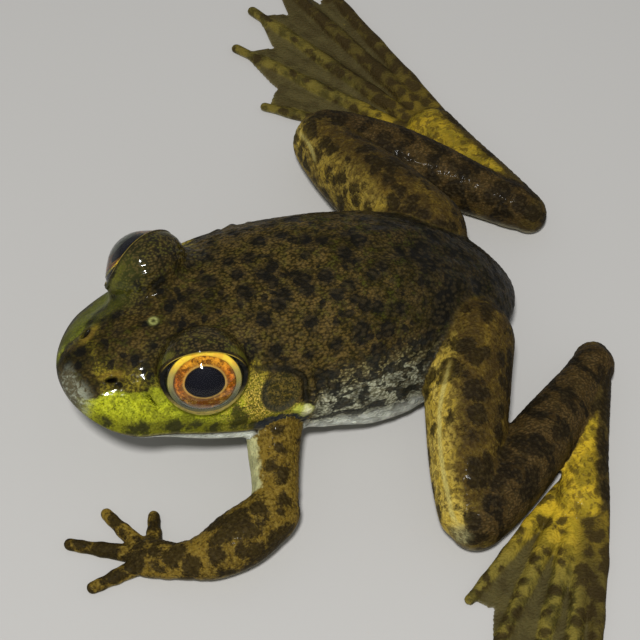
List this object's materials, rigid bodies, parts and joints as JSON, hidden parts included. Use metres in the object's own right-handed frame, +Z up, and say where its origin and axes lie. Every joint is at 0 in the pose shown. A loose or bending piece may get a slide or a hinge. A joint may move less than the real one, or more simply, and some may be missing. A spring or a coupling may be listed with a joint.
{
  "type": "bullfrog",
  "caption": "Life-size model of a young American bullfrog sitting low with folded hind legs, webbed feet spread flat and its head raised and turned a little to its left.",
  "frame": {"origin": "on the floor, under the middle of the frog's bounding box", "axes": "-Y is the way the trunk faces, +X is the frog's left, +Z is up"},
  "size_m": [0.132, 0.0752, 0.0247],
  "materials": {
    "skin": "wet, finely grained frog skin, olive brown with dark spots",
    "eye": "clear polished cornea over a copper iris"
  },
  "bodies": {
    "root": {"head": "skin", "lower_jaw": "skin", "trunk": "skin", "eye_left": "eye", "eye_right": "eye", "eardrum_left": "skin", "eardrum_right": "skin", "upper_arm_left": "skin", "forearm_left": "skin", "hand_left": "skin", "upper_arm_right": "skin", "forearm_right": "skin", "hand_right": "skin", "thigh_left": "skin", "shank_left": "skin", "ankle_left": "skin", "foot_left": "skin", "thigh_right": "skin", "shank_right": "skin", "ankle_right": "skin", "foot_right": "skin"}
  },
  "joints": []
}
